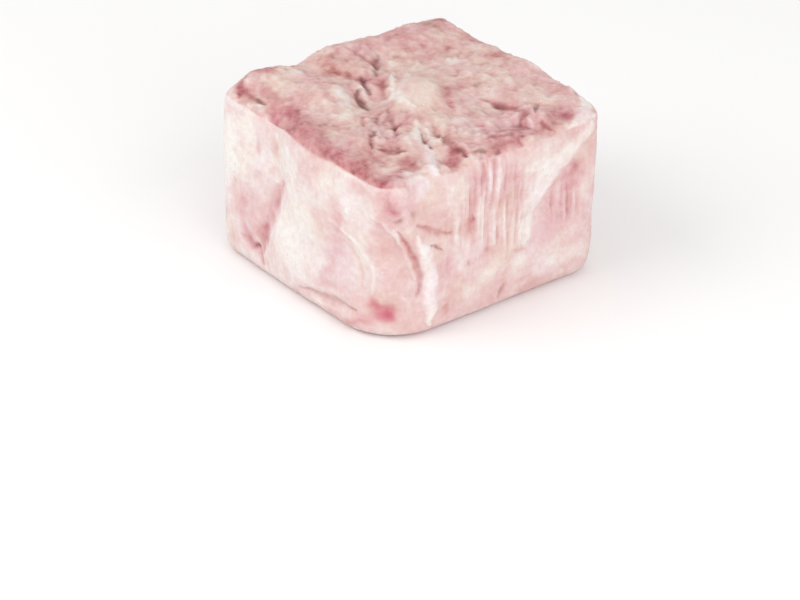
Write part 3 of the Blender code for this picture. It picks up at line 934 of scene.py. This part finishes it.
    @staticmethod
    def read(block: bpy.types.Object) -> Skin:
        """Reads the settled skin.

        Args:
            block: The block.

        Returns:
            Its points' places and facings.
        """
        count = len(block.data.vertices)
        places = np.empty(count * 3)
        normals = np.empty(count * 3)
        block.data.vertices.foreach_get("co", places)
        block.data.vertex_normals.foreach_get("vector", normals)
        return Skin(places.reshape(-1, 3) / MM, normals.reshape(-1, 3))

    @staticmethod
    def gather(skin: Skin) -> dict:
        """Adds up what the marks do at each point.

        Args:
            skin: The settled skin.

        Returns:
            An array for each effect, by its name.
        """
        names = ("lift", "dust", "warm", "berry", "shade", "crumple", "drag", "calm")
        effects = {name: np.zeros(len(skin.places)) for name in names}
        for mark in TOP_MARKS + FRONT_MARKS + CORNER_MARKS + RIGHT_MARKS + HIDDEN_MARKS:
            strength = skin.strength(mark)
            for name, effect in effects.items():
                effect += getattr(mark, name) * strength
        return effects

    def mark(self, block: bpy.types.Object) -> None:
        """Adds the patterns to the marks, raises and sinks the skin by them, and keeps what colours it.

        Args:
            block: The settled block.
        """
        skin = self.read(block)
        effects = self.gather(skin)
        places, top = skin.places, skin.shares[Side.TOP]
        flecks = self.flecks.soft(places)
        folds = self.folds.creased(places @ self.fold_way) - self.fold_middle
        small_folds = self.small_folds.creased(places @ self.fold_way) - self.fold_middle
        lines = self.broad_share * self.broad_lines.soft(places) + self.thin_lines.soft(places)
        cakes = smooth(*self.cake_over, self.cakes.soft(places))
        hues = self.hues.soft(places)
        stains = smooth(*self.stain_over, self.stains.soft(places) - self.stain_rare)
        creases = smooth(*self.crease_over, -folds)

        crumple = self.crumple_all + self.crumple_top * top + effects["crumple"]
        drag = self.drag_sides * (1.0 - top) + effects["drag"]
        busy = (self.busy_all + self.busy_top * top) * (1.0 - self.calm_most * np.clip(effects["calm"], 0.0, 1.0))

        dust = effects["dust"] + sum(share * skin.shares[side] for side, share in self.dust_by_side)
        dust += busy * (self.patch_dust * self.patches.soft(places) + self.fleck_dust * flecks
                        + self.fold_dust * (folds + small_folds) * crumple)
        dust += busy * top * self.cake_dust * (cakes - 0.5) + self.line_dust * lines * drag
        dust += (1.0 - top) * self.drift_dust * self.drifts.soft(places)
        dust = self.settle(dust)
        warm = effects["warm"] + top * (self.top_warm + self.cake_warm * cakes + self.top_hue * hues)
        warm += (1.0 - top) * (self.side_hue * hues - self.side_mauve)
        shade = effects["shade"] + busy * self.stain_shade * (1.0 + top) * stains
        shade += busy * self.crease_shade * creases * np.clip(crumple - self.crease_from, 0.0, 1.0)
        for name, values in (("dust", dust), ("warm", warm), ("berry", effects["berry"]), ("shade", shade)):
            block.data.attributes.new(name, "FLOAT", "POINT").data.foreach_set("value", np.clip(values, -1.0, 1.0))

        lift = effects["lift"] + self.cake_height * smooth(*self.cake_rise, dust)
        lift += busy * (self.fleck_lift * flecks
                        + (self.fold_lift * folds + self.small_fold_lift * small_folds) * crumple)
        lift += self.line_lift * lines * drag
        lift *= smooth(0.0, self.foot, places[:, 2]) * smooth(*self.base_over, skin.normals[:, 2])
        self.displace(block, lift)

    def settle(self, dust: np.ndarray) -> np.ndarray:
        """Eases the powder's share towards 0 and 1, so that neither the barest nor the thickest place is even.

        Args:
            dust: The shares, which may pass 0 and 1.

        Returns:
            The eased shares.
        """
        low, high, room = self.thin_dust, self.thick_dust, 1.0 - self.thick_dust
        thin = low * np.exp(np.minimum(dust - low, 0.0) / low)
        thick = 1.0 - room * np.exp(-np.maximum(dust - high, 0.0) / room)
        return np.where(dust < low, thin, np.where(dust > high, thick, dust))

    def displace(self, block: bpy.types.Object, lift: np.ndarray) -> None:
        """Raises and sinks the skin along its normals, with a painted group for each.

        Args:
            block: The block.
            lift: How far each point is moved, in millimetres.
        """
        for name, way in (("raised", 1.0), ("sunk", -1.0)):
            moves = np.clip(lift * way, 0.0, None)
            most = float(moves.max())
            group = block.vertex_groups.new(name=name)
            for index in np.nonzero(moves)[0]:
                group.add([int(index)], float(moves[index] / most), "REPLACE")
            self.apply(block, "DISPLACE", strength=way * most * MM, mid_level=0.0, direction="NORMAL",
                       vertex_group=name)
        block.vertex_groups.clear()


@dataclass(frozen=True)
class IcingSugar:
    """Damp icing sugar in small clumps: pale, dry and a little pink where it has drunk from the gel."""

    name: str = "icing_sugar"
    pale: tuple = tint(236, 227, 222)
    soaked: tuple = tint(228, 208, 203)
    stain_size: float = 1.2 * MM
    stain_detail: float = 3.0
    stain_over: tuple = (0.40, 0.62)
    roughness: float = 0.85
    soaked_gloss: float = 0.15
    subsurface: float = 0.15
    subsurface_scale: float = 0.4 * MM
    specular: float = 0.2

    def build(self) -> bpy.types.Material:
        """Makes the material.

        Returns:
            The material.
        """
        material, graph, shader, places = start_material(self.name)
        stain = graph.grain(places, self.stain_size, self.stain_detail).over(*self.stain_over)
        graph.feed(graph.blend(stain, self.pale, self.soaked), shader, "Base Color")
        graph.feed(self.roughness - stain * self.soaked_gloss, shader, "Roughness")
        set_sockets(shader, {
            "Subsurface Weight": self.subsurface,
            "Subsurface Scale": self.subsurface_scale,
            "Specular IOR Level": self.specular,
        })
        return material


@dataclass
class SugarCrumbs:
    """Small clumps of icing sugar, partly sunk in the block's skin where its powder is thick.

    Sizes are in millimetres, and sink is a share of a crumb's size.
    """

    name: str = "sugar_crumbs"
    kinds: int = 6
    count: int = 900
    smallest: float = 0.07
    largest: float = 0.20
    size_fall: int = 3
    roundness: float = 0.8
    squash: float = 0.55
    lumpiness: float = 0.30
    sink: float = 0.08
    dust_over: tuple = (0.50, 0.95)
    drifts: Pattern = Pattern(3.0, 3, 21)
    drift_over: tuple = (-0.1, 0.5)
    stray: float = 0.03
    foot: float = 0.5
    seed: int = 11

    def build(self, block: bpy.types.Object) -> bpy.types.Object:
        """Makes the whole piece.

        Args:
            block: The dressed block, which the crumbs lie on.

        Returns:
            The finished object.
        """
        draw = np.random.default_rng(self.seed)
        kinds = [self.lump(draw) for _ in range(self.kinds)]
        copies = [self.copy(kinds[i % self.kinds], place, normal, draw)
                  for i, (place, normal) in enumerate(self.spots(block, draw))]
        for kind in kinds:
            bpy.data.objects.remove(kind, do_unlink=True)
        bpy.ops.object.select_all(action="DESELECT")
        for copy in copies:
            copy.select_set(True)
        bpy.context.view_layer.objects.active = copies[0]
        bpy.ops.object.join()
        crumbs = bpy.context.object
        crumbs.name = self.name
        crumbs.data.name = self.name
        bpy.ops.object.shade_smooth()
        crumbs.data.materials.append(IcingSugar().build())
        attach(crumbs, "root")
        return crumbs

    def lump(self, draw: np.random.Generator) -> bpy.types.Object:
        """Models one crumb, 1 mm across: a subdivided box, rounded and dented.

        Args:
            draw: The random draws.

        Returns:
            The crumb.
        """
        bpy.ops.object.select_all(action="DESELECT")
        bpy.ops.mesh.primitive_cube_add(size=MM)
        lump = bpy.context.object
        bpy.ops.object.mode_set(mode="EDIT")
        bpy.ops.mesh.select_all(action="SELECT")
        bpy.ops.mesh.subdivide(number_cuts=1)
        bpy.ops.transform.tosphere(value=self.roundness)
        bpy.ops.object.mode_set(mode="OBJECT")
        for point in lump.data.vertices:
            point.co *= 1.0 + self.lumpiness * draw.uniform(-1.0, 1.0)
            point.co.z *= self.squash
        return lump

    def spots(self, block: bpy.types.Object, draw: np.random.Generator) -> list:
        """Draws the places of the crumbs, more of them where the powder is thick, and none at the foot.

        Args:
            block: The dressed block.
            draw: The random draws.

        Returns:
            Pairs of a place and the skin's normal there.
        """
        points = block.data.vertices
        count = len(points)
        dust = np.empty(count)
        block.data.attributes["dust"].data.foreach_get("value", dust)
        places = np.empty(count * 3)
        points.foreach_get("co", places)
        places = places.reshape(-1, 3) / MM
        drifts = smooth(*self.drift_over, self.drifts.soft(places))
        chance = smooth(*self.dust_over, dust) * (self.stray + drifts ** 2) * (places[:, 2] > self.foot)
        chosen = draw.choice(count, self.count, replace=False, p=chance / chance.sum())
        return [(points[int(i)].co.copy(), points[int(i)].normal.copy()) for i in chosen]

    def copy(self, kind: bpy.types.Object, place: Vector, normal: Vector,
             draw: np.random.Generator) -> bpy.types.Object:
        """Lays one copy of a crumb on the skin.

        Args:
            kind: The crumb that is copied.
            place: Where it lies.
            normal: The skin's normal there.
            draw: The random draws.

        Returns:
            The copy, with its own mesh.
        """
        size = self.smallest + (self.largest - self.smallest) * draw.random() ** self.size_fall
        turned = normal.to_track_quat("Z", "X").to_matrix().to_4x4()
        spun = Matrix.Rotation(draw.uniform(0.0, math.tau), 4, "Z")
        crumb = kind.copy()
        crumb.data = kind.data.copy()
        sunk = place - normal * self.sink * size * MM
        crumb.data.transform(Matrix.Translation(sunk) @ turned @ spun @ Matrix.Scale(size, 4))
        bpy.context.scene.collection.objects.link(crumb)
        return crumb


@dataclass(frozen=True)
class Studio:
    """A pale floor, soft light and the camera. Each lamp has a name, a place and a side in metres, and watts."""

    azimuth: float = 52.1
    elevation: float = 30.2
    distance: float = 0.44
    nearest: float = 0.01
    lens: float = 184.8
    sensor: float = 36.0
    aim_right: float = -1.00 * MM
    aim_up: float = -4.53 * MM
    floor_size: float = 4.0
    floor_colour: tuple = (0.97, 0.97, 0.97, 1.0)
    floor_roughness: float = 0.9
    room_colour: tuple = (1.0, 0.99, 0.985, 1.0)
    room_strength: float = 0.72
    lamps: tuple = (
        ("key", (-0.10, -0.32, 0.30), 0.30, 0.66),
        ("fill", (0.36, -0.06, 0.20), 0.34, 0.64),
    )

    def build(self) -> None:
        """Makes the floor, the lights and the camera."""
        self.floor()
        self.world()
        for lamp in self.lamps:
            self.light(*lamp)
        self.camera()
        bpy.context.scene.view_settings.view_transform = "Standard"

    def floor(self) -> None:
        """Lays the floor."""
        bpy.ops.object.select_all(action="DESELECT")
        bpy.ops.mesh.primitive_plane_add(size=self.floor_size)
        floor = bpy.context.object
        floor.name = "floor"
        material = bpy.data.materials.new("pale_floor")
        material.use_nodes = True
        set_sockets(material.node_tree.nodes["Principled BSDF"], {
            "Base Color": self.floor_colour,
            "Roughness": self.floor_roughness,
            "Specular IOR Level": 0.0,
        })
        floor.data.materials.append(material)

    def world(self) -> None:
        """Lights the whole room evenly."""
        world = bpy.data.worlds.new("soft_room")
        world.use_nodes = True
        background = world.node_tree.nodes["Background"]
        set_sockets(background, {"Color": self.room_colour, "Strength": self.room_strength})
        bpy.context.scene.world = world

    @staticmethod
    def light(name: str, place: tuple, size: float, power: float) -> None:
        """Adds a soft square light that points at the block.

        Args:
            name: Its name.
            place: Where it hangs, in metres.
            size: Its side, in metres.
            power: Its power, in watts.
        """
        data = bpy.data.lights.new(name, "AREA")
        data.size = size
        data.energy = power
        lamp = bpy.data.objects.new(name, data)
        lamp.location = place
        lamp.rotation_euler = (-Vector(place)).to_track_quat("-Z", "Y").to_euler()
        bpy.context.scene.collection.objects.link(lamp)

    def camera(self) -> None:
        """Sets the camera at the photograph's angle and framing."""
        turn, rise = math.radians(self.azimuth), math.radians(self.elevation)
        back = Vector((math.sin(turn) * math.cos(rise), -math.cos(turn) * math.cos(rise), math.sin(rise)))
        right = Vector((math.cos(turn), math.sin(turn), 0.0))
        up = back.cross(right)
        data = bpy.data.cameras.new("camera")
        data.lens = self.lens
        data.sensor_width = self.sensor
        data.clip_start = self.nearest
        camera = bpy.data.objects.new("camera", data)
        camera.location = back * self.distance + right * self.aim_right + up * self.aim_up
        camera.rotation_euler = (-back).to_track_quat("-Z", "Y").to_euler()
        bpy.context.scene.collection.objects.link(camera)
        bpy.context.scene.camera = camera


def main() -> None:
    """Builds the studio and the block, and reports each piece."""
    logging.basicConfig(level=logging.INFO)
    Studio().build()
    block = DelightBlock().build()
    crumbs = SugarCrumbs().build(block)
    for piece in (block, crumbs):
        LOG.info("%s: %d faces", piece.name, len(piece.data.polygons))


if __name__ == "__main__":
    main()
